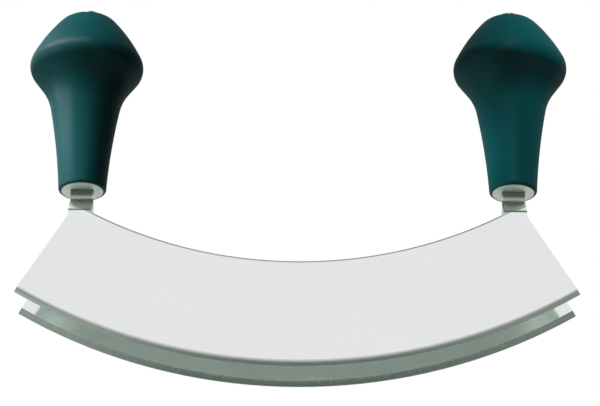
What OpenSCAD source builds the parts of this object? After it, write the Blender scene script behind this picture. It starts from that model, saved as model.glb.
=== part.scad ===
// Double-bladed mezzaluna: two parallel crescent blades that share a knob handle at each end.
// X runs along the blades, Y across them and Z up. The lowest points of both edges lie on z = 0,
// and the origin is midway between them. One millimetre is one unit.

/* [Blades] */
// Length of a blade from tip to tip
span = 220; // [190:1:250]
// Radius of the cutting edge
edge_r = 213; // [190:1:250]
// Width of the crescent, from cutting edge to spine
blade_w = 44; // [34:1:52]
// Thickness of the blade steel
sheet_t = 1.5; // [1.0:0.1:2.0]
// Distance between the middle planes of the two blades
blade_pitch = 21.5; // [17:0.5:28]
// Height of the ground bevel on each side of the edge
grind_h = 2.5; // [1.5:0.1:5.0]
// Width of the flat left along the edge by honing
edge_land = 0.15; // [0.1:0.05:0.4]
// Rounding of the spine, where fingers may rest
spine_round = 0.6; // [0.2:0.05:0.9]

/* [Necks] */
// Width of the neck that rises from each end of a blade
neck_w = 8.8; // [7.0:0.2:10.0]
// Distance from the tip of the blade in to the middle of the neck
neck_inset = 24.2; // [20:0.2:30]
// Angle of the neck's slanted part away from upright
neck_slope = 45; // [35:1:55]
// Upright length of the neck below the handle
neck_rise = 4.5; // [3:0.5:10]
// Inside radius of the two bends in the neck
bend_r = 1.5; // [1.0:0.1:2.5]
// Height of the lower bend above the end of the spine
bend_lift = 0.5; // [0:0.1:2.0]
// Fillet between the neck and the spine
neck_fillet = 2.5; // [1.5:0.1:4.0]
// Length of the tang inside the handle
tang_len = 28; // [22:1:32]

/* [Grips] */
// Height of the grip from its foot to its crown
grip_h = 77.8; // [70:0.2:86]
// Radius of the grip at its foot
foot_r = 9.55; // [9.2:0.05:11.0]
// Largest radius of the knob
belly_r = 22.9; // [20.5:0.1:24.5]
// Height of the crown above the widest edge
crown_h = 22.4; // [21.8:0.1:24.0]
// Radius of the flat on the crown
crown_flat_r = 4.6; // [4.4:0.1:5.4]
// Rounding of the foot's lower rim
rim_round = 1.15; // [0.6:0.05:1.15]
// Radius of the hollow curve under the knob
waist_round = 26; // [18:1:30]
// Radius of the knob's widest edge
belly_round = 6.8; // [4:0.2:9]
// Draft angle of the grip at its foot
foot_draft = 3.3; // [1:0.1:5]
// Draft angle of the grip where the hollow curve starts
waist_draft = 10.7; // [9:0.1:13]
// Angle of the knob's underside away from upright
flare_angle = 35.6; // [33:0.2:42]
// Angle away from upright where the knob's shoulder starts
shoulder_start = 25.6; // [20:0.2:30]
// Angle away from upright where the shoulder turns into the crown
shoulder_end = 40; // [37:0.2:50]
// Thickness of the moulded skin over the core
grip_wall = 3; // [2.5:0.1:3.4]
// Height of the lowest groove that keys the skin to the core
key_start = 10; // [8:0.5:12]
// Distance from one keying groove to the next
key_pitch = 9; // [6:0.5:10]
// Depth of the keying grooves
key_depth = 0.8; // [0.5:0.1:1.0]
// Height of each keying groove
key_w = 2.4; // [1.5:0.1:3.0]
// Number of keying grooves
key_count = 3; // [1:1:3]

/* [End discs] */
// Radius of the steel disc that closes the foot of the grip
disc_r = 8.3; // [7.6:0.05:8.3]
// Thickness of the disc at its rim
disc_t = 2; // [1.2:0.1:3.0]
// Height of the shallow dome of the disc's face
disc_dome = 0.5; // [0.2:0.05:0.8]

/* [Studs and nuts] */
// Thickness of the stud's flat foot between the two tangs
plate_t = 2; // [1.5:0.1:2.2]
// Height of the stud's head block on top of the tangs
head_h = 2.5; // [1.5:0.1:4.0]
// Diameter of the stud's threaded rod
stud_d = 5; // [4:0.1:5.2]
// Diameter of the two rivets through the tangs
rivet_d = 3; // [2:0.1:4]
// Distance between the two rivets
rivet_pitch = 12; // [8:0.5:14]
// Diameter of the nut's barrel inside the grip
barrel_d = 6.4; // [6.2:0.1:7.0]
// Length of the barrel below the crown
barrel_l = 14; // [10:0.5:18]
// Length of the stud's thread inside the barrel
thread_l = 8; // [6:0.5:9]
// Diameter of the nut's head on the crown
button_d = 8.8; // [7.8:0.1:8.8]
// Height of the head's straight side
button_h = 1.0; // [0.6:0.1:1.6]
// Rounding between the head's side and its dome
button_round = 0.5; // [0.2:0.05:0.6]
// Height of the dome above the head's straight side
dome_h = 1.1; // [0.8:0.05:1.6]
// Width of the screwdriver slot across the dome
driver_w = 1.2; // [0.8:0.1:1.6]
// Depth of the screwdriver slot
driver_h = 1.2; // [0.8:0.1:1.6]
// Thickness of the washer under the head
washer_t = 0.5; // [0.3:0.1:1.0]

/* [Fits] */
// Clearance round a piece that is bonded, pressed or riveted in
seat_gap = 0.05; // [0.02:0.01:0.10]
// Clearance round a piece that is slid in
slide_gap = 0.2; // [0.10:0.05:0.25]

/* [Hidden] */

// Smoothness of turned shapes and of small holes
fine_fn = 120;
hole_fn = 48;
// Steps in a rounded stretch of an outline
arc_steps = 14;
// How far a cutting shape runs past what it cuts
past = 1;
// Flat that stays between the two roundings of the spine
least_flat = 0.1;
// How far the neck's blank reaches down into the crescent
neck_overlap = 5;

steel = [0.80, 0.81, 0.83];
bright_steel = [0.86, 0.87, 0.88];
petrol_green = [0.03, 0.24, 0.24];
core_grey = [0.22, 0.23, 0.24];

// The crescent is a slice of a ring about an axis along Y, cut off square to its edge at both ends
half_angle = asin(span / 2 / edge_r);
spine_r = edge_r - blade_w;

// The neck stands just inside the tip and joins the crescent where the spine ends
neck_x = span / 2 - neck_inset;
neck_in = neck_x - neck_w / 2;
root_z = edge_r - sqrt(pow(spine_r, 2) - pow(neck_in, 2));
low_bend_z = root_z + bend_lift;
tang_pitch = plate_t + sheet_t;
bend_run = (blade_pitch - tang_pitch) / 2;
high_bend_z = low_bend_z + bend_run / tan(neck_slope);
foot_z = high_bend_z + neck_rise;
tang_top_z = foot_z + tang_len;

// The bends follow the middle of the sheet
bend_mid_r = bend_r + sheet_t / 2;
bend_tangent = bend_mid_r * tan(neck_slope / 2);

// Heights above the foot of the grip
belly_h = grip_h - crown_h;
pocket_h = tang_len + head_h;
barrel_h = grip_h - barrel_l;
stud_h = barrel_h + thread_l;
head_low = grip_h + washer_t;
head_high = head_low + button_h;

// Sizes of what fits into what
tang_stack = plate_t + 2 * sheet_t;
slot_w = tang_stack + 2 * slide_gap;
slot_l = neck_w + 2 * slide_gap;
slot_corner_r = 2 * slide_gap;
stud_hole_r = stud_d / 2 + slide_gap;
barrel_hole_r = barrel_d / 2 + slide_gap;
rivet_hole_r = rivet_d / 2 + seat_gap;

// Points on an arc from angle a to angle b, both ends included
function arc(centre, r, a, b) = [
    for (i = [0 : arc_steps])
        let (t = a + (b - a) * i / arc_steps)
            centre + r * [cos(t), sin(t)]
];

// The grip's outline is a chain of arcs that meet smoothly. Two of the lower lengths and two of
// the upper radii are solved, so that the chain passes through the belly and ends on the crown.
function solve2(a, b, c, d, p, q) = let (det = a * d - b * c) [(p * d - b * q) / det, (a * q - p * c) / det];

// Radius of the long taper; the straight flank under the knob takes up what is left
lower = solve2(
    cos(foot_draft) - cos(waist_draft), sin(flare_angle),
    sin(waist_draft) - sin(foot_draft), cos(flare_angle),
    belly_r - foot_r - waist_round * (cos(waist_draft) - cos(flare_angle))
        - belly_round * (1 - cos(flare_angle)) + rim_round * (1 - cos(foot_draft)),
    belly_h - rim_round * (1 - sin(foot_draft)) - waist_round * (sin(flare_angle) - sin(waist_draft))
        - belly_round * sin(flare_angle)
);
taper_round = lower[0];

// Radii of the shoulder and of the crown's edge
upper = solve2(
    cos(shoulder_start) - cos(shoulder_end), cos(shoulder_end),
    sin(shoulder_end) - sin(shoulder_start), 1 - sin(shoulder_end),
    belly_r - belly_round * (1 - cos(shoulder_start)) - crown_flat_r,
    grip_h - belly_h - belly_round * sin(shoulder_start)
);
shoulder_round = upper[0];
crown_round = upper[1];

// Centres of the arcs, from the foot up
rim_c = [foot_r - rim_round, rim_round];
taper_c = rim_c + (rim_round + taper_round) * [cos(foot_draft), -sin(foot_draft)];
waist_c = taper_c - (taper_round - waist_round) * [cos(waist_draft), -sin(waist_draft)];
belly_c = [belly_r - belly_round, belly_h];
shoulder_c = belly_c - (shoulder_round - belly_round) * [cos(shoulder_start), sin(shoulder_start)];
crown_c = [crown_flat_r, grip_h - crown_round];

// Outline of the grip moved inwards by the given depth, from near the foot to the crown
function grip_outline(depth) = concat(
    arc(taper_c, taper_round + depth, 180 - foot_draft, 180 - waist_draft),
    arc(waist_c, waist_round + depth, 180 - waist_draft, 180 - flare_angle),
    arc(belly_c, belly_round - depth, -flare_angle, shoulder_start),
    arc(shoulder_c, shoulder_round - depth, shoulder_start, shoulder_end),
    arc(crown_c, crown_round - depth, shoulder_end, 90)
);

// Radius of the long taper at a height, moved inwards by the given depth
function taper_r(h, depth) = taper_c[0] - sqrt(pow(taper_round + depth, 2) - pow(h - taper_c[1], 2));

// Section of the crescent, with the ground bevel at the edge and the rounded spine
module crescent_section() {
    half_t = sheet_t / 2;
    nose = min(spine_round, half_t - least_flat / 2);
    polygon(concat(
        [
            [edge_r, -edge_land / 2],
            [edge_r, edge_land / 2],
            [edge_r - grind_h, half_t]
        ],
        arc([spine_r + nose, half_t - nose], nose, 90, 180),
        arc([spine_r + nose, nose - half_t], nose, 180, 270),
        [[edge_r - grind_h, -half_t]]
    ));
}

// The crescent in the front blade's place, ending below the bends
module crescent() {
    intersection() {
        translate([0, -blade_pitch / 2, edge_r])
            rotate([-90, 0, 0])
                rotate([0, 0, 90 - half_angle])
                    rotate_extrude(angle = 2 * half_angle, $fn = 4 * fine_fn)
                        crescent_section();
        translate([-span, -blade_pitch, -past])
            cube([2 * span, blade_pitch, low_bend_z - bend_tangent + past]);
    }
}

// Side view of the sheet from the blade plane through both bends to the top of the tang
module neck_side_view() {
    half_t = sheet_t / 2;
    blade_y = -blade_pitch / 2;
    tang_y = -tang_pitch / 2;
    low_c = [blade_y + bend_mid_r, low_bend_z - bend_tangent];
    high_c = [tang_y - bend_mid_r, high_bend_z + bend_tangent];
    bottom_z = root_z - neck_overlap - past;
    polygon(concat(
        [[blade_y - half_t, bottom_z]],
        arc(low_c, bend_mid_r + half_t, 180, 180 - neck_slope),
        arc(high_c, bend_mid_r - half_t, -neck_slope, 0),
        [[tang_y - half_t, tang_top_z], [tang_y + half_t, tang_top_z]],
        arc(high_c, bend_mid_r + half_t, 0, -neck_slope),
        arc(low_c, bend_mid_r - half_t, 180 - neck_slope, 180),
        [[blade_y + half_t, bottom_z]]
    ));
}

// Front view of the right-hand neck, with its fillet into the spine
module neck_front_view() {
    fillet_x = neck_in - neck_fillet;
    fillet_z = edge_r - sqrt(pow(spine_r - neck_fillet, 2) - pow(fillet_x, 2));
    spine_c = [0, edge_r];
    fillet_c = [fillet_x, fillet_z];
    touch = spine_c + (fillet_c - spine_c) * spine_r / (spine_r - neck_fillet);
    below = spine_c + (fillet_c - spine_c) * (spine_r + sheet_t / 2) / (spine_r - neck_fillet);
    translate([neck_in, root_z - neck_overlap])
        square([neck_w, tang_top_z - root_z + neck_overlap]);
    difference() {
        polygon([
            fillet_c, touch, below,
            [neck_in + past, root_z - past],
            [neck_in + past, fillet_z],
            [neck_in, fillet_z]
        ]);
        translate(fillet_c)
            circle(r = neck_fillet, $fn = hole_fn);
    }
}

// The right-hand neck and tang of the front blade, drilled for the rivets
module neck() {
    difference() {
        intersection() {
            rotate([90, 0, 90])
                linear_extrude(height = span)
                    neck_side_view();
            rotate([90, 0, 0])
                linear_extrude(height = 2 * blade_pitch, center = true)
                    neck_front_view();
        }
        at_rivets()
            cylinder(r = rivet_hole_r, h = 2 * blade_pitch, center = true, $fn = hole_fn);
    }
}

// Puts its children at both rivets of the right-hand tang, lying along Y
module at_rivets() {
    for (i = [-1, 1])
        translate([neck_x, 0, foot_z + (disc_t + tang_len) / 2 + i * rivet_pitch / 2])
            rotate([90, 0, 0])
                children();
}

// Two crescents are one design: the rear blade is the front one turned half round
module blade() {
    color(steel) {
        crescent();
        neck();
        mirror([1, 0, 0])
            neck();
    }
}

module front_blade() {
    blade();
}

module rear_blade() {
    rotate([0, 0, 180])
        blade();
}

// Puts its children on the foot of the right-hand or the left-hand grip
module on_foot(side) {
    translate([side * neck_x, 0, foot_z])
        children();
}

// Turned envelope of the core, with the keying grooves, made larger all round by the given gap
module core_envelope(gap) {
    depth = grip_wall - gap;
    rotate_extrude($fn = fine_fn)
        difference() {
            intersection() {
                polygon(concat(
                    [[0, -past], [foot_r - depth, -past]],
                    grip_outline(depth),
                    [[0, grip_h - depth]]
                ));
                translate([0, disc_t])
                    square([2 * belly_r, grip_h]);
            }
            for (i = [0 : key_count - 1])
                let (h = key_start + i * key_pitch)
                    translate([taper_r(h, grip_wall) - key_depth + gap, h + gap])
                        square([belly_r, key_w - 2 * gap]);
        }
}

// The green skin, open at the foot for the disc and at the crown for the nut
module grip(side) {
    color(petrol_green)
        on_foot(side)
            difference() {
                rotate_extrude($fn = fine_fn)
                    polygon(concat(
                        [[0, 0]],
                        arc(rim_c, rim_round, -90, -foot_draft),
                        grip_outline(0),
                        [[0, grip_h]]
                    ));
                core_envelope(seat_gap);
                translate([0, 0, -past])
                    cylinder(r = disc_r + seat_gap, h = disc_t + past, $fn = fine_fn);
                cylinder(r = barrel_hole_r, h = grip_h + past, $fn = hole_fn);
            }
}

// The rigid core, with the pocket for the tangs and the stepped hole for the stud and the nut
module grip_core(side) {
    color(core_grey)
        on_foot(side)
            difference() {
                core_envelope(0);
                translate([-slot_l / 2, -slot_w / 2, -past])
                    cube([slot_l, slot_w, pocket_h + past]);
                cylinder(r = stud_hole_r, h = grip_h, $fn = hole_fn);
                translate([0, 0, barrel_h - slide_gap])
                    cylinder(r = barrel_hole_r, h = grip_h, $fn = hole_fn);
            }
}

// The steel disc in the foot, shallowly domed below and slotted for the two tangs
module end_disc(side) {
    face_r = (pow(disc_r, 2) + pow(disc_dome, 2)) / (2 * disc_dome);
    face_angle = asin(disc_r / face_r);
    color(bright_steel)
        on_foot(side)
            difference() {
                rotate_extrude($fn = fine_fn)
                    polygon(concat(
                        arc([0, face_r - disc_dome], face_r, -90, face_angle - 90),
                        [[disc_r, disc_t], [0, disc_t]]
                    ));
                translate([0, 0, -disc_dome - past])
                    linear_extrude(height = disc_dome + disc_t + 2 * past)
                        disc_slot();
            }
}

module disc_slot() {
    for (x = [-1, 1], y = [-1, 1])
        translate([x * (slot_l / 2 - slot_corner_r), y * (slot_w / 2 - slot_corner_r)])
            circle(r = slot_corner_r, $fn = hole_fn);
    square([slot_l - 2 * slot_corner_r, slot_w], center = true);
    square([slot_l, slot_w - 2 * slot_corner_r], center = true);
}

// The stud: a flat foot riveted between the tangs, a head block on top of them and a threaded rod
module tang_stud(side) {
    plate_low = bend_tangent - neck_rise;
    block_mid = tang_len + head_h / 2;
    color(steel)
        difference() {
            on_foot(side) {
                translate([-neck_w / 2, -plate_t / 2, plate_low])
                    cube([neck_w, plate_t, block_mid - plate_low]);
                translate([-neck_w / 2, -tang_stack / 2, tang_len])
                    cube([neck_w, tang_stack, head_h]);
                translate([0, 0, block_mid])
                    cylinder(d = stud_d, h = stud_h - block_mid, $fn = hole_fn);
            }
            mirror([1 - side, 0, 0])
                at_rivets()
                    cylinder(r = rivet_hole_r, h = blade_pitch, center = true, $fn = hole_fn);
        }
}

// Two flush rivets through both tangs and the stud's foot
module tang_rivets(side) {
    color(bright_steel)
        mirror([1 - side, 0, 0])
            at_rivets()
                cylinder(d = rivet_d, h = tang_stack, center = true, $fn = hole_fn);
}

// The thin washer between the crown and the nut's head
module nut_washer(side) {
    color(steel)
        on_foot(side)
            translate([0, 0, grip_h])
                difference() {
                    cylinder(d = button_d, h = washer_t, $fn = fine_fn);
                    translate([0, 0, -past])
                        cylinder(r = barrel_hole_r, h = washer_t + 2 * past, $fn = hole_fn);
                }
}

// The sleeve nut on the stud, whose domed and slotted head is the button on the crown
module dome_nut(side) {
    side_c = [button_d / 2 - button_round, head_high];
    rise = dome_h - button_round;
    reach = (pow(side_c[0], 2) + pow(rise, 2)) / (2 * rise);
    meet_angle = acos(side_c[0] / reach);
    dome_c = [0, head_high + rise - reach];
    color(bright_steel)
        on_foot(side)
            difference() {
                union() {
                    translate([0, 0, barrel_h])
                        cylinder(d = barrel_d, h = head_high - barrel_h, $fn = hole_fn);
                    rotate_extrude($fn = fine_fn)
                        polygon(concat(
                            [[0, head_low], [button_d / 2, head_low]],
                            arc(side_c, button_round, 0, meet_angle),
                            arc(dome_c, reach + button_round, meet_angle, 90)
                        ));
                }
                translate([0, 0, barrel_h - past])
                    cylinder(r = stud_d / 2 + seat_gap, h = thread_l + 2 * past, $fn = hole_fn);
                translate([-button_d, -driver_w / 2, head_high + dome_h - driver_h])
                    cube([2 * button_d, driver_w, driver_h + past]);
            }
}

front_blade();
rear_blade();
grip(-1);  // left_grip
grip(1);  // right_grip
grip_core(-1);  // left_grip_core
grip_core(1);  // right_grip_core
end_disc(-1);  // left_end_disc
end_disc(1);  // right_end_disc
tang_stud(-1);  // left_tang_stud
tang_stud(1);  // right_tang_stud
tang_rivets(-1);  // left_tang_rivets
tang_rivets(1);  // right_tang_rivets
nut_washer(-1);  // left_nut_washer
nut_washer(1);  // right_nut_washer
dome_nut(-1);  // left_dome_nut
dome_nut(1);  // right_dome_nut
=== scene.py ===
# %% [markdown]
# # Mezzaluna: the looks
#
# A mezzaluna is a rocking herb knife. Two thin crescent blades stand side by side, and two
# upright knobs on top of them are held by the hands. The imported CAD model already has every
# steel and plastic piece at its real size, so nothing is modelled again here. This script loads
# that model as a fixed frame, gives each piece the finish of the real one, and then adds a
# floor, soft light and the camera.

# %% Load the fixed frame
import math

import bmesh
import bpy
from mathutils import Matrix, Vector


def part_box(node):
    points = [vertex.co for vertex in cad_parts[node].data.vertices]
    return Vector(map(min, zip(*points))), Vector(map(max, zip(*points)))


MM = 0.001
MM_PER_METRE = 1000.0

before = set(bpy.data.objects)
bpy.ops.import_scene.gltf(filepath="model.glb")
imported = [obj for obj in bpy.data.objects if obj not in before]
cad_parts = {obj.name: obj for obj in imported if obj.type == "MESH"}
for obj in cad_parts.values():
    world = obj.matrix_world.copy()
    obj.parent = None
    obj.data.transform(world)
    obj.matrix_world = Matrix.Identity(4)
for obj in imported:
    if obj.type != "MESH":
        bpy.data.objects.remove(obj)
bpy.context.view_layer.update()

# %% [markdown]
# ## The camera
#
# The photograph looks up at the knife from below by about 25 degrees, through a long lens. A
# long lens keeps the two knobs nearly parallel, as they are there. The lens is worked out from
# a focal length in pixels of the photograph's frame, because that is what a perspective fit
# gives. The tilt is put on first and the small roll after it, about the line of sight.
#
# The Standard view transform shows a colour about as it is written, which the others don't.

# %% Camera
PHOTO_W = 600
FOCAL_PX = 3087.2
SENSOR_MM = 36.0
NEAREST_MM = 50.0
CAMERA_AT_MM = (0.93, -1110.46, -447.95)
LOOK_UP_DEG = 25.19
ROLL_RAD = 0.0050


def make_camera():
    data = bpy.data.cameras.new("camera")
    data.sensor_width = SENSOR_MM
    data.lens = FOCAL_PX / PHOTO_W * SENSOR_MM
    data.clip_start = NEAREST_MM * MM
    camera = bpy.data.objects.new("camera", data)
    bpy.context.scene.collection.objects.link(camera)
    tilt = Matrix.Rotation(math.radians(90 + LOOK_UP_DEG), 4, "X")
    roll = Matrix.Rotation(ROLL_RAD, 4, "Z")
    camera.matrix_world = Matrix.Translation(Vector(CAMERA_AT_MM) * MM) @ tilt @ roll
    bpy.context.scene.camera = camera
    return camera


camera = make_camera()
bpy.context.scene.view_settings.view_transform = "Standard"
print("camera lens", round(camera.data.lens, 1), "mm")

# %% [markdown]
# ## Small helpers for node trees
#
# A material in Blender is a tree of nodes. Written out in full, each node takes several lines,
# so a few helpers keep the later cells short. `add` makes one node and fills its sockets, with a
# plain value or with another node's output. `maths` does one sum. `ramp` turns one range of
# numbers into another. `step` rises softly from 0 to 1 between two limits, `fade` falls from 1
# to 0, and `flip` turns a share round. `axes` takes a vector apart, `distance` measures it, and
# `blend` mixes two shaders.

# %% Node helpers


def add(tree, kind, feeds, **settings):
    made = tree.nodes.new("ShaderNode" + kind)
    for name, value in settings.items():
        setattr(made, name, value)
    for socket, feed in feeds.items():
        if isinstance(feed, bpy.types.NodeSocket):
            tree.links.new(feed, made.inputs[socket])
        else:
            made.inputs[socket].default_value = feed
    return made


def maths(tree, operation, *feeds):
    return add(tree, "Math", dict(enumerate(feeds)), operation=operation).outputs[0]


def ramp(tree, value, low, high, to_low=0.0, to_high=1.0, curve="LINEAR"):
    feeds = {"Value": value, "From Min": low, "From Max": high, "To Min": to_low, "To Max": to_high}
    return add(tree, "MapRange", feeds, interpolation_type=curve).outputs["Result"]


def step(tree, value, low, high):
    return ramp(tree, value, low, high, curve="SMOOTHSTEP")


def flip(tree, share):
    return maths(tree, "SUBTRACT", 1.0, share)


def fade(tree, value, low, high):
    return flip(tree, step(tree, value, low, high))


def axes(tree, vector):
    return add(tree, "SeparateXYZ", {"Vector": vector}).outputs


def distance(tree, vector):
    return add(tree, "VectorMath", {0: vector}, operation="LENGTH").outputs["Value"]


def blend(tree, share, first, second):
    return add(tree, "MixShader", {0: share, 1: first, 2: second}).outputs["Shader"]


print("node helpers ready")

# %% [markdown]
# ## Mixing colours and numbers
#
# A Mix node goes from one colour or number to another as its share goes from 0 to 1. `tint` does
# it for colours, which may be written out or come from another node, and `between` does it for
# numbers. `tones` goes from one tone of a colour to another.

# %% Mixing helpers


def rgba(colour):
    return colour if isinstance(colour, bpy.types.NodeSocket) else (*colour, 1.0)


def tint(tree, share, start, end):
    feeds = {0: share, 6: rgba(start), 7: rgba(end)}
    return add(tree, "Mix", feeds, data_type="RGBA").outputs[2]


def between(tree, share, start, end):
    feeds = {0: share, 2: start, 3: end}
    return add(tree, "Mix", feeds, data_type="FLOAT").outputs[0]


def tones(tree, share, colour, factors):
    start, end = [tuple(c * factor for c in colour) for factor in factors]
    return tint(tree, share, start, end)


print("mixing helpers ready")

# %% [markdown]
# ## Patterns at real scale
#
# Every pattern is measured in millimetres on the real piece. Object coordinates are in metres,
# and each CAD piece's object sits at the origin, so a Mapping node scales them up and moves
# them to the pattern's own centre. The scale `FLAT` leaves out the depth, so that a pattern is
# the same right through the sheet. `cloud` is an even noise, like the skin of a moulding.
# `streaks` is a noise that is stretched far along one direction, which looks like brushing or
# grinding. Most of a noise lies between 0.3 and 0.7, and `swing` spreads that part over the
# range that a finish needs.

# %% Pattern helpers
FLAT = (MM_PER_METRE, 0.0, MM_PER_METRE)
ALL_WAYS = (MM_PER_METRE, MM_PER_METRE, MM_PER_METRE)
NOISE_LOW, NOISE_HIGH = 0.3, 0.7
FINE_DETAIL = 3.0


def place_mm(tree, scale=ALL_WAYS, centre=(0.0, 0.0, 0.0)):
    seen = add(tree, "TexCoord", {}).outputs["Object"]
    feeds = {"Vector": seen, "Location": [-c for c in centre], "Scale": scale}
    return add(tree, "Mapping", feeds).outputs["Vector"]


def cloud(tree, place, size, detail=2.0):
    feeds = {"Vector": place, "Scale": 1.0 / size, "Detail": detail}
    return add(tree, "TexNoise", feeds).outputs["Fac"]


def streaks(tree, along, across, length, width, detail=2.0):
    feeds = {"X": maths(tree, "DIVIDE", along, length), "Y": maths(tree, "DIVIDE", across, width)}
    vector = add(tree, "CombineXYZ", feeds).outputs["Vector"]
    noise = {"Vector": vector, "Scale": 1.0, "Detail": detail}
    return add(tree, "TexNoise", noise, noise_dimensions="2D").outputs["Fac"]


def swing(tree, noise, to_low, to_high):
    return ramp(tree, noise, NOISE_LOW, NOISE_HIGH, to_low, to_high)


print("pattern helpers ready")

# %% [markdown]
# ## A material and its relief
#
# Every finish here has the same three parts: a colour, a roughness and a fine relief, which a
# Bump node presses into the surface normal without moving the mesh. The relief's depth is given
# in millimetres, as on the real piece.

# %% Material helpers


def relief(tree, heights, depth_mm, under=None):
    feeds = {"Height": heights, "Distance": depth_mm * MM, "Strength": 1.0}
    if under is not None:
        feeds["Normal"] = under
    return add(tree, "Bump", feeds).outputs["Normal"]


def new_material(name):
    made = bpy.data.materials.new(name)
    made.use_nodes = True
    return made, made.node_tree, made.node_tree.nodes["Principled BSDF"]


def new_steel(name):
    made, tree, shader = new_material(name)
    shader.inputs["Metallic"].default_value = 1.0
    return made, tree, shader


def dress(tree, shader, colour, roughness, normal):
    tree.links.new(colour, shader.inputs["Base Color"])
    tree.links.new(roughness, shader.inputs["Roughness"])
    tree.links.new(normal, shader.inputs["Normal"])


print("material helpers ready")

# %% [markdown]
# ## Blade steel
#
# The blades are stamped from rolled stainless sheet, ground along the edge and polished. Three
# things show that: very fine polish lines that follow the crescent, a ground band along the
# edge whose grind lines run across it, and a hair of honed steel at the edge itself. All three
# follow the arc, so the pattern is laid out in polar coordinates about the centre of the edge's
# circle: how far along the arc, and how far out. A straight brushing would cut across the
# crescent, which is how a cheap copy gives itself away.
#
# Only the front of each sheet is polished bright. Its back is left satin, with the same lines
# cut deeper, so the gap between the blades glows softly and shows no row of mirror images.
# The surface normal tells the two sides apart. The rounded spine and the bent necks above it are
# duller too, because the polishing wheel doesn't reach them, and their colour is a darker tone. In
# the corner under each disc the steel is painted far darker still. That is painted shade: it stands
# for the shade and the dark reflection in the joint there. So the first step is to find where each
# of these zones lies.

# %% Blade steel: the zones
EDGE_RADIUS_MM = 213.0
SPINE_RADIUS_MM = 169.0
GROUND_BAND_MM = 2.5
BAND_FROM_MM = EDGE_RADIUS_MM - GROUND_BAND_MM
HONED_MM = 0.3
LIMIT_SOFT_MM = 0.05
SPINE_DULL_MM = 0.9
SPINE_SOFT_MM = 0.3
# Heights under each disc where painted shade darkens the necks
CORNER_SHADE_Z_MM = (74.6, 76.8)
REAR_BLADE_Y_MM = (-1.0, 1.0)
BACK_FACING = (0.4, 0.6)


def arc_place(tree):
    spot = place_mm(tree, FLAT, (0.0, 0.0, EDGE_RADIUS_MM))
    parts = axes(tree, spot)
    below = maths(tree, "MULTIPLY", parts["Z"], -1.0)
    angle = maths(tree, "ARCTAN2", parts["X"], below)
    return maths(tree, "MULTIPLY", angle, EDGE_RADIUS_MM), distance(tree, spot)


def blade_zones(tree, radius, everywhere):
    spot = axes(tree, everywhere)
    facing = axes(tree, add(tree, "NewGeometry", {}).outputs["Normal"])["Y"]
    honed_from = EDGE_RADIUS_MM - HONED_MM
    dull_to = SPINE_RADIUS_MM + SPINE_DULL_MM
    return {
        "band": step(tree, radius, BAND_FROM_MM - LIMIT_SOFT_MM, BAND_FROM_MM + LIMIT_SOFT_MM),
        "honed": step(tree, radius, honed_from - LIMIT_SOFT_MM, honed_from + LIMIT_SOFT_MM),
        "formed": fade(tree, radius, dull_to - SPINE_SOFT_MM, dull_to),
        # Mask for the painted shade in the corner under each disc
        "corner_shade": step(tree, spot["Z"], *CORNER_SHADE_Z_MM),
        "rear": step(tree, spot["Y"], *REAR_BLADE_Y_MM),
        "back": step(tree, facing, *BACK_FACING),
    }


print("ground band", GROUND_BAND_MM, "mm wide, honed", HONED_MM, "mm")

# %% [markdown]
# The steel has one colour, in a few tones. The faces change by a trace where hands and cloths have
# been, and the grind lines on the band go from darker to lighter. The spine and necks are a darker
# tone, and painted shade makes them far darker in the corner under each disc. The rear blade's band
# is darker as a whole. That is painted shade: it stands for the shade the band lies in below the
# front blade.

# %% Blade steel: the colour
BLADE_COLOUR = (0.775, 0.782, 0.79)
FACE_TONES = (0.985, 1.015)
# The tone of the spine and necks, then painted shade for the corner under each disc
FORMED_TONE_AND_CORNER_SHADE = (0.68, 0.14)
FRONT_BAND_TONES = (0.93, 1.0)
# The rear blade's band is darker: painted shade for the shade it lies in below the front blade
REAR_BAND_SHADE_TONES = (0.7, 0.78)


def blade_colour(tree, zones, grind, handling):
    face = tones(tree, handling, BLADE_COLOUR, FACE_TONES)
    # The necks are darkened with painted shade in the corner under each disc
    formed = tones(tree, zones["corner_shade"], BLADE_COLOUR, FORMED_TONE_AND_CORNER_SHADE)
    front_band = tones(tree, grind, BLADE_COLOUR, FRONT_BAND_TONES)
    # The rear blade's band carries painted shade
    rear_band_shade = tones(tree, grind, BLADE_COLOUR, REAR_BAND_SHADE_TONES)
    band = tint(tree, zones["rear"], front_band, rear_band_shade)
    return tint(tree, zones["band"], tint(tree, zones["formed"], face, formed), band)


print("blade colour", BLADE_COLOUR)

# %% [markdown]
# Roughness is what makes steel look bright or dull: near 0 it is a mirror, and near 0.5 it is
# satin. The lines and the traces of handling move it a little around the value of their zone.

# %% Blade steel: the roughness
BRIGHT_ROUGHNESS = (0.055, 0.085)
HANDLING_SEEN = (0.35, 0.7)
HANDLING_ROUGHNESS = 0.02
SATIN_ROUGHNESS = 0.5
SATIN_SWING = 0.05
FORMED_ROUGHNESS = 0.24
BAND_ROUGHNESS = (0.1, 0.16)
HONED_ROUGHNESS = 0.08


def blade_roughness(tree, zones, polish, grind, handling):
    handled = ramp(tree, handling, *HANDLING_SEEN, 0.0, HANDLING_ROUGHNESS)
    bright = maths(tree, "ADD", swing(tree, polish, *BRIGHT_ROUGHNESS), handled)
    satin = maths(tree, "ADD", SATIN_ROUGHNESS, swing(tree, polish, -SATIN_SWING, SATIN_SWING))
    front = between(tree, zones["formed"], bright, FORMED_ROUGHNESS)
    face = between(tree, zones["back"], front, satin)
    honed = maths(tree, "MULTIPLY", zones["honed"], HONED_ROUGHNESS)
    band = maths(tree, "ADD", swing(tree, grind, *BAND_ROUGHNESS), honed)
    return between(tree, zones["band"], face, band)


print("bright", BRIGHT_ROUGHNESS, "satin", SATIN_ROUGHNESS)

# %% [markdown]
# The polish lines are cut deeper on the satin back, and the grind lines show on the band alone.
# The front blade's band starts with a soft shoulder, which lets it shade from light to dark as
# it turns down towards the edge.

# %% Blade steel: the relief
POLISH_DEPTH_MM = 0.00006
SATIN_DEEPER = 8.0
GRIND_DEPTH_MM = 0.0009
SHOULDER_MM = 2.0
SHOULDER_DEPTH_MM = 0.22


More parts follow.
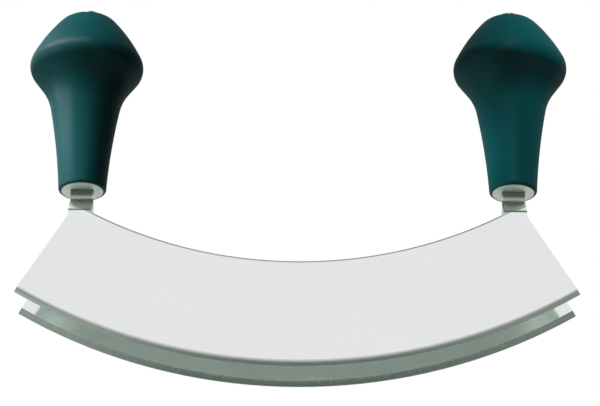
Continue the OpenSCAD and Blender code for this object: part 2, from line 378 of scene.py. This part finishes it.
def blade_relief(tree, zones, radius, polish, grind):
    depth = ramp(tree, zones["back"], 0.0, 1.0, 1.0, SATIN_DEEPER)
    polished = relief(tree, maths(tree, "MULTIPLY", polish, depth), POLISH_DEPTH_MM)
    inward = ramp(tree, radius, BAND_FROM_MM, BAND_FROM_MM + SHOULDER_MM, 1.0, 0.0)
    rise = flip(tree, maths(tree, "MULTIPLY", inward, inward))
    shoulder = maths(tree, "MULTIPLY", rise, flip(tree, zones["rear"]))
    shaped = relief(tree, shoulder, SHOULDER_DEPTH_MM, polished)
    return relief(tree, maths(tree, "MULTIPLY", grind, zones["band"]), GRIND_DEPTH_MM, shaped)


print("shoulder", SHOULDER_MM, "mm wide")

# %% [markdown]
# Both sets of lines and the traces of handling are made once, in one material for both blades.
# The colour, the roughness and the relief read the same noise, so all of them change together,
# line by line.

# %% Blade steel
POLISH_LINE_MM = (45.0, 0.22)
GRIND_LINE_MM = (0.28, 9.0)
HANDLING_MM = 26.0


def make_blade_steel():
    made, tree, shader = new_steel("blade_steel")
    along, radius = arc_place(tree)
    everywhere = place_mm(tree)
    polish = streaks(tree, along, radius, *POLISH_LINE_MM)
    grind = streaks(tree, along, radius, *GRIND_LINE_MM)
    handling = cloud(tree, everywhere, HANDLING_MM)
    zones = blade_zones(tree, radius, everywhere)
    colour = blade_colour(tree, zones, grind, handling)
    roughness = blade_roughness(tree, zones, polish, grind, handling)
    dress(tree, shader, colour, roughness, blade_relief(tree, zones, radius, polish, grind))
    return made


blade_steel = make_blade_steel()
print(blade_steel.name, len(blade_steel.node_tree.nodes), "nodes")

# %% [markdown]
# ## Turned steel
#
# The disc in each knob's foot and the nut on its crown are turned parts. A lathe tool leaves
# rings about the axis, so their pattern reads only the distance from the knob's axis. Both
# knobs share one material: the absolute value of X folds the left knob onto the right one. The
# nut is left as the tool cut it, and the disc is satin, so it mirrors nothing of the necks.

# %% Turned steel
disc_low, disc_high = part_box("right_end_disc")
KNOB_AXIS_MM = (disc_low[0] + disc_high[0]) / 2 / MM
RING_PITCH_MM = 0.18
TURNED_HANDLING_MM = 5.0
TURNED_TONES = (0.97, 1.02)
TURNED_HANDLING_ROUGHNESS = 0.03


def ring_radius(tree):
    parts = axes(tree, place_mm(tree))
    aside = maths(tree, "SUBTRACT", maths(tree, "ABSOLUTE", parts["X"]), KNOB_AXIS_MM)
    flat = add(tree, "CombineXYZ", {"X": aside, "Y": parts["Y"]}).outputs["Vector"]
    return distance(tree, flat)


def make_turned_steel(name, colour, roughness, depth_mm):
    made, tree, shader = new_steel(name)
    rings = streaks(tree, ring_radius(tree), 0.0, RING_PITCH_MM, 1.0)
    handling = cloud(tree, place_mm(tree), TURNED_HANDLING_MM)
    handled = swing(tree, handling, 0.0, TURNED_HANDLING_ROUGHNESS)
    rough = maths(tree, "ADD", swing(tree, rings, *roughness), handled)
    tone = tones(tree, handling, colour, TURNED_TONES)
    dress(tree, shader, tone, rough, relief(tree, rings, depth_mm))
    return made


disc_steel = make_turned_steel(
    "disc_steel", colour=(0.84, 0.845, 0.83), roughness=(0.58, 0.64), depth_mm=0.0003
)
nut_steel = make_turned_steel(
    "nut_steel", colour=(0.8, 0.8, 0.8), roughness=(0.08, 0.13), depth_mm=0.0002
)
print("knob axis at", round(KNOB_AXIS_MM, 2), "mm")

# %% [markdown]
# ## Fastener steel
#
# The stud, rivets and washers are plain tumbled parts, with a dull even skin. Most of them are
# closed inside the knobs, but they still carry a real finish, so that a knob can be opened or
# cut away in another picture.

# %% Fastener steel
TUMBLED_DARK = (0.5, 0.5, 0.5)
TUMBLED_LIGHT = (0.6, 0.6, 0.59)
TUMBLED_SKIN_MM = 0.4
TUMBLED_PATCH_MM = 4.0
TUMBLED_ROUGHNESS = (0.28, 0.42)
TUMBLED_DEPTH_MM = 0.002


def make_fastener_steel():
    made, tree, shader = new_steel("fastener_steel")
    everywhere = place_mm(tree)
    skin = cloud(tree, everywhere, TUMBLED_SKIN_MM, FINE_DETAIL)
    patches = cloud(tree, everywhere, TUMBLED_PATCH_MM)
    tone = tint(tree, patches, TUMBLED_DARK, TUMBLED_LIGHT)
    rough = swing(tree, skin, *TUMBLED_ROUGHNESS)
    dress(tree, shader, tone, rough, relief(tree, skin, TUMBLED_DEPTH_MM))
    return made


fastener_steel = make_fastener_steel()
print(fastener_steel.name, len(fastener_steel.node_tree.nodes), "nodes")

# %% [markdown]
# ## Mouldings: the grip and its core
#
# The knobs are moulded in a deep petrol green. The mould is finely sparked, which gives a satin
# skin with a grain of about a third of a millimetre, and the plastic's flow leaves broad, very
# faint changes of tone and gloss. The green is kept dark and full, because the pale part of
# what the eye sees on such a knob is the light on its skin, not its colour. The core inside is
# made in the same way, in grey and with a coarser grain, since nobody sees it.

# %% Mouldings
PLASTIC_IOR = 1.45
PLASTIC_SPECULAR = 0.28
GRAIN_SWING = 0.02


def make_moulding(name, dark, light, roughness, grain_mm, grain_depth_mm, flow_mm):
    made, tree, shader = new_material(name)
    shader.inputs["IOR"].default_value = PLASTIC_IOR
    shader.inputs["Specular IOR Level"].default_value = PLASTIC_SPECULAR
    everywhere = place_mm(tree)
    skin = cloud(tree, everywhere, grain_mm, FINE_DETAIL)
    flow = cloud(tree, everywhere, flow_mm)
    grained = swing(tree, skin, -GRAIN_SWING, GRAIN_SWING)
    rough = maths(tree, "ADD", swing(tree, flow, *roughness), grained)
    dress(tree, shader, tint(tree, flow, dark, light), rough, relief(tree, skin, grain_depth_mm))
    return made


grip_plastic = make_moulding(
    "grip_plastic", dark=(0.0025, 0.080, 0.087), light=(0.0035, 0.092, 0.100),
    roughness=(0.35, 0.42), grain_mm=0.35, grain_depth_mm=0.0016, flow_mm=14.0,
)
core_plastic = make_moulding(
    "core_plastic", dark=(0.05, 0.052, 0.055), light=(0.07, 0.072, 0.075),
    roughness=(0.42, 0.5), grain_mm=0.5, grain_depth_mm=0.006, flow_mm=8.0,
)
print(grip_plastic.name, len(grip_plastic.node_tree.nodes), "nodes")

# %% [markdown]
# ## Which piece has which finish
#
# The name of each CAD node ends with the kind of piece it is, so one short table serves both
# sides of the knife. A material goes into the slot that the node already has. The meshes are
# left as they are.

# %% Give each CAD node its finish
FINISHES = {
    "blade": blade_steel,
    "end_disc": disc_steel,
    "tang_stud": fastener_steel,
    "tang_rivets": fastener_steel,
    "nut_washer": fastener_steel,
    "dome_nut": nut_steel,
    "grip_core": core_plastic,
    "grip": grip_plastic,
}


def finish_nodes():
    for name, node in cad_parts.items():
        finish = next(made for ending, made in FINISHES.items() if name.endswith(ending))
        for place in node.material_slots:
            place.material = finish
        print(name, "has", finish.name)


finish_nodes()

# %% [markdown]
# ## The floor
#
# The knife stands on a pale floor that catches its shadow. The photograph's camera looks up
# from under the floor, so the sheet is see-through from below. Only camera rays meet it: what
# the steel mirrors and what lights the undersides is the lower half of the studio, below. The
# sheet fades out towards its rim, so that no edge shows against the white backdrop. Part of
# its white is its own glow, and the rest is lit, which is what keeps the shadow.

# %% Floor
FLOOR_MM = 3000.0
FADE_MM = (500.0, 1400.0)
FLOOR_WHITE = (0.9, 0.9, 0.9, 1.0)
FLOOR_ROUGHNESS = 0.9
FLOOR_GLOW = 0.4


def floor_material():
    made, tree, shader = new_material("floor_white")
    shader.inputs["Base Color"].default_value = FLOOR_WHITE
    shader.inputs["Roughness"].default_value = FLOOR_ROUGHNESS
    glow = add(tree, "Emission", {"Strength": 1.0}).outputs["Emission"]
    lit = blend(tree, FLOOR_GLOW, shader.outputs["BSDF"], glow)
    near = fade(tree, distance(tree, place_mm(tree)), *FADE_MM)
    above = flip(tree, add(tree, "NewGeometry", {}).outputs["Backfacing"])
    camera_ray = add(tree, "LightPath", {}).outputs["Is Camera Ray"]
    shown = maths(tree, "MULTIPLY", maths(tree, "MULTIPLY", near, above), camera_ray)
    clear = add(tree, "BsdfTransparent", {}).outputs["BSDF"]
    seen = blend(tree, shown, clear, lit)
    tree.links.new(seen, tree.nodes["Material Output"].inputs["Surface"])
    return made


def make_floor():
    shape = bmesh.new()
    bmesh.ops.create_grid(shape, x_segments=1, y_segments=1, size=FLOOR_MM / 2 * MM)
    mesh = bpy.data.meshes.new("floor")
    shape.to_mesh(mesh)
    shape.free()
    floor = bpy.data.objects.new("floor", mesh)
    floor.data.materials.append(floor_material())
    bpy.context.scene.collection.objects.link(floor)
    return floor


floor = make_floor()
print("floor", FLOOR_MM, "mm across")

# %% [markdown]
# ## The studio
#
# Polished steel shows what stands round it, so a plain grey world leaves it dead. Here the
# world is a small studio made of a few soft panels. Azimuth 0 is in front, where the
# photograph's camera is, and positive azimuths are to the right. The blades' faces mirror the
# narrow white panel in front, and the ground bevels, which face down a little, mirror the grey
# green of the room at the horizon. Only mirror rays see the panels. The camera sees plain
# white, and rays that light a matt surface see an even dim grey, because the lamps are what
# models the knobs.
#
# Light that comes out of the gap between the blades has bounced there many times. The renderer
# follows only a few of those bounces and loses the rest, so the room is made brighter, and a
# little greener, for rays that have already been mirrored more than once.

# %% Studio helpers
DEG = math.degrees(1.0)


def look_angles(tree):
    parts = axes(tree, add(tree, "TexCoord", {}).outputs["Generated"])
    toward = maths(tree, "MULTIPLY", parts["Y"], -1.0)
    azimuth = maths(tree, "MULTIPLY", maths(tree, "ARCTAN2", parts["X"], toward), DEG)
    height = maths(tree, "MULTIPLY", maths(tree, "ARCSINE", parts["Z"]), DEG)
    return azimuth, height


def panel_share(tree, azimuth, height, middle, half_w, half_h, soft_w, soft_h):
    aside = maths(tree, "WRAP", maths(tree, "SUBTRACT", azimuth, middle[0]), 180.0, -180.0)
    across = maths(tree, "ABSOLUTE", aside)
    upright = maths(tree, "ABSOLUTE", maths(tree, "SUBTRACT", height, middle[1]))
    inside_w = fade(tree, across, half_w - soft_w, half_w + soft_w)
    inside_h = fade(tree, upright, half_h - soft_h, half_h + soft_h)
    return maths(tree, "MULTIPLY", inside_w, inside_h)


def backdrop(tree, colour):
    return add(tree, "Background", {"Color": colour, "Strength": 1.0}).outputs["Background"]


print("studio helpers ready")

# %% [markdown]
# Each panel is given, in degrees, by the azimuth and height of its middle, by its half width
# and half height, and by how soft its rim is to the sides and upwards. The last three numbers
# are its glow in red, green and blue. A later panel covers an earlier one.

# %% Studio
ROOM = (0.18, 0.19, 0.18)
PANELS = {
    "ceiling": ((0, 75), 200, 28, 8, 8, (0.07, 0.085, 0.075)),
    "pale_floor": ((0, -60), 200, 38, 8, 8, (0.3, 0.35, 0.31)),
    "back_wall": ((180, 28), 35, 38, 10, 10, (0.14, 0.16, 0.15)),
    "back_low": ((180, -55), 70, 20, 10, 8, (0.8, 0.95, 0.85)),
    "back_floor": ((180, -24), 60, 14, 8, 6, (0.56, 0.57, 0.56)),
    "left_low": ((-62, -25), 34, 22, 10, 8, (0.5, 0.53, 0.51)),
    "right_low": ((62, -25), 34, 22, 10, 8, (0.5, 0.53, 0.51)),
    "front_horizon": ((0, -12), 26, 16, 6, 6, (0.15, 0.21, 0.175)),
    "left_glow": ((-21, -1), 9, 7, 7, 6, (0.46, 0.52, 0.48)),
    "right_glow": ((21, -1), 9, 7, 7, 6, (0.3, 0.35, 0.31)),
    "front_panel": ((0, 40), 12, 30, 6, 12, (1.0, 1.0, 1.0)),
    "right_curtain": ((80, 10), 42, 45, 10, 10, (0.1, 0.1, 0.1)),
}
WHITE = (1.0, 1.0, 1.0)
DIM = (0.02, 0.02, 0.02)
GAP_GAIN = (3.0, 3.3, 2.95)
MIRRORED_MORE_THAN_ONCE = 1.5


def make_studio():
    world = bpy.data.worlds.new("studio")
    bpy.context.scene.world = world
    world.use_nodes = True
    world.cycles.sampling_method = "NONE"
    tree = world.node_tree
    azimuth, height = look_angles(tree)
    colour = ROOM
    for name, (*shape, glow) in PANELS.items():
        colour = tint(tree, panel_share(tree, azimuth, height, *shape), colour, glow)
        print("panel", name, glow)
    rays = add(tree, "LightPath", {}).outputs
    again = maths(tree, "GREATER_THAN", rays["Glossy Depth"], MIRRORED_MORE_THAN_ONCE)
    gain = tint(tree, again, WHITE, GAP_GAIN)
    colour = add(tree, "VectorMath", {0: colour, 1: gain}, operation="MULTIPLY").outputs["Vector"]
    lit = blend(tree, rays["Is Glossy Ray"], backdrop(tree, rgba(DIM)), backdrop(tree, colour))
    seen = blend(tree, rays["Is Camera Ray"], lit, backdrop(tree, rgba(WHITE)))
    tree.links.new(seen, tree.nodes["World Output"].inputs["Surface"])


make_studio()

# %% [markdown]
# ## Lamps
#
# An overhead softbox lights the floor alone and gives it the shadow. A back light fills the side
# of the knobs that the photograph doesn't show. Each knob then has lamps of its own, because
# the photograph lights them differently: the left one has a bright band down its left side and
# a sheen on top, and the right one is lit evenly and shows no highlight. Light linking keeps
# each lamp on its own pieces. Some lamps are hidden from mirror rays, so they only model the
# form and leave no highlight.
#
# A knob's lamps are given by their azimuth and height as seen from the place they light. `hang`
# sets the watts by the square of the distance, so that moving a lamp away doesn't dim it.

# %% Lamp helpers
SOFTBOX_WATT = math.pi ** 2
BEAM_WATT = 4 * math.pi ** 2
BEAM_BLEND = 0.4


def pieces(prefix):
    lit = bpy.data.collections.new(prefix + "_pieces_lit")
    for name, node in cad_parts.items():
        if name.startswith(prefix):
            lit.objects.link(node)
    return lit


def around(centre_mm, azimuth, height, away_mm):
    turn, tilt = math.radians(azimuth), math.radians(height)
    aside, toward = math.sin(turn) * math.cos(tilt), math.cos(turn) * math.cos(tilt)
    return Vector(centre_mm) + Vector((aside, -toward, math.sin(tilt))) * away_mm


def hang(data, watt, place_mm, look_at_mm, lit, mirrored):
    away = (Vector(look_at_mm) - Vector(place_mm)) * MM
    data.energy = watt * away.length_squared
    lamp = bpy.data.objects.new(data.name, data)
    lamp.location = Vector(place_mm) * MM
    lamp.rotation_euler = away.to_track_quat("-Z", "Y").to_euler()
    lamp.visible_camera = False
    lamp.visible_glossy = mirrored
    lamp.light_linking.receiver_collection = lit
    bpy.context.scene.collection.objects.link(lamp)
    print(data.name, round(data.energy, 2), "W")


def softbox(name, place_mm, look_at_mm, size_mm, light, lit, mirrored=True):
    data = bpy.data.lights.new(name, "AREA")
    data.shape = "RECTANGLE"
    data.size, data.size_y = size_mm[0] * MM, size_mm[1] * MM
    hang(data, light * SOFTBOX_WATT, place_mm, look_at_mm, lit, mirrored)


def beam(name, place_mm, look_at_mm, wide_mm, lamp_mm, light, lit, mirrored=True):
    away_mm = (Vector(look_at_mm) - Vector(place_mm)).length
    data = bpy.data.lights.new(name, "SPOT")
    data.spot_size = 2 * math.atan(wide_mm / 2 / away_mm)
    data.spot_blend = BEAM_BLEND
    data.shadow_soft_size = lamp_mm / 2 * MM
    hang(data, light * BEAM_WATT, place_mm, look_at_mm, lit, mirrored)


print("lamp helpers ready")

# %% Lamps for the floor and the back
floor_only = bpy.data.collections.new("floor_lit")
floor_only.objects.link(floor)
softbox("overhead", (0, 0, 1000), (0, 0, 100), size_mm=(500, 500), light=0.75,
        lit=floor_only, mirrored=False)
softbox("back_fill", (0, 900, 420), (0, 0, 110), size_mm=(700, 400), light=0.55,
        lit=pieces(""), mirrored=False)

# %% [markdown]
# Softboxes from above would leave the slim stems in the dark, and a softbox low enough to reach
# them would also light the underside of the belly, which is the darkest place on each knob. So
# narrow beams from the side light the stem alone. One beam leaves only a narrow highlight, so
# the left knob's broad ones come from beams in a row, three on the stem and three on the crown.

# %% Lamps for the left knob
KNOB_Z_MM, STEM_Z_MM, CROWN_Z_MM = 120.0, 93.0, 140.0
SOFTBOX_AWAY_MM, BEAM_AWAY_MM = 300, 400
ROW_AZIMUTHS = (-94, -74, -54)
CROWN_ROW_HEIGHT, STEM_ROW_HEIGHT = 36, 6


def light_left_knob():
    lit = pieces("left")
    knob, stem, crown = [(-KNOB_AXIS_MM, 0.0, z) for z in (KNOB_Z_MM, STEM_Z_MM, CROWN_Z_MM)]
    sheen_at = around(knob, azimuth=-82, height=44, away_mm=SOFTBOX_AWAY_MM)
    key_at = around(knob, azimuth=-46, height=48, away_mm=SOFTBOX_AWAY_MM)
    fill_at = around(knob, azimuth=-50, height=46, away_mm=SOFTBOX_AWAY_MM)
    low_at = around(stem, azimuth=-52, height=4, away_mm=BEAM_AWAY_MM)
    softbox("left_sheen", sheen_at, knob, size_mm=(900, 220), light=0.4, lit=lit)
    softbox("left_key", key_at, knob, size_mm=(340, 180), light=0.5, lit=lit)
    softbox("left_key_fill", fill_at, knob, size_mm=(200, 100), light=0.5, lit=lit, mirrored=False)
    beam("left_stem_fill", low_at, stem, wide_mm=50, lamp_mm=40, light=0.33,
         lit=lit, mirrored=False)
    for turn in ROW_AZIMUTHS:
        crown_at = around(crown, turn, CROWN_ROW_HEIGHT, BEAM_AWAY_MM)
        stem_at = around(stem, turn, STEM_ROW_HEIGHT, BEAM_AWAY_MM)
        beam(f"left_crown{turn}", crown_at, crown, wide_mm=38, lamp_mm=60, light=0.25, lit=lit)
        beam(f"left_stem{turn}", stem_at, stem, wide_mm=50, lamp_mm=60, light=0.38, lit=lit)


light_left_knob()

# %% [markdown]
# The right knob's lamps are all hidden from mirror rays. One softbox from the right models the
# crown, a weak one fills the knob's left side, and one beam reaches the stem.

# %% Lamps for the right knob
RIGHT_AWAY_MM = 400


def light_right_knob():
    lit = pieces("right")
    knob, stem = [(KNOB_AXIS_MM, 0.0, z) for z in (KNOB_Z_MM, STEM_Z_MM)]
    high_at = around(knob, azimuth=44, height=46, away_mm=RIGHT_AWAY_MM)
    side_at = around(knob, azimuth=-84, height=0, away_mm=RIGHT_AWAY_MM)
    low_at = around(stem, azimuth=-70, height=4, away_mm=RIGHT_AWAY_MM)
    softbox("right_high", high_at, knob, size_mm=(120, 120), light=0.86, lit=lit, mirrored=False)
    softbox("right_side", side_at, knob, size_mm=(200, 200), light=0.12, lit=lit, mirrored=False)
    beam("right_stem", low_at, stem, wide_mm=54, lamp_mm=40, light=0.78, lit=lit, mirrored=False)


light_right_knob()
